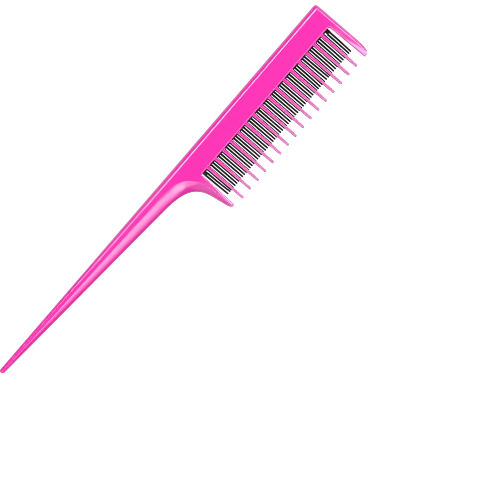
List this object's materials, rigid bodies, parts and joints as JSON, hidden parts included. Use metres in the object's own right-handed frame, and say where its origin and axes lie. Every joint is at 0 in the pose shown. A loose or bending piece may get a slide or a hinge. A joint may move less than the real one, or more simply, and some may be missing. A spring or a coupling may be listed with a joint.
{
  "type": "rat tail comb",
  "caption": "Comb with a long tapering tail, rows of long teeth front and back between two guards, and a dark fine-tooth insert between the rows.",
  "frame": {"origin": "centre of the comb's outline, on the surface that it lies on", "axes": "+X along the comb to the head end, -Y the way the teeth point, +Z through its thickness, up from the surface"},
  "size_m": [0.23, 0.0342, 0.006],
  "materials": {
    "body_plastic": "hot pink moulded plastic, polished",
    "insert_plastic": "black moulded plastic"
  },
  "bodies": {
    "root": {"tail": "body_plastic", "heel_guard": "body_plastic", "spine": "body_plastic", "toe_guard": "body_plastic", "front_teeth": "body_plastic", "back_teeth": "body_plastic", "insert_bar": "insert_plastic", "fine_teeth": "insert_plastic"}
  },
  "joints": []
}
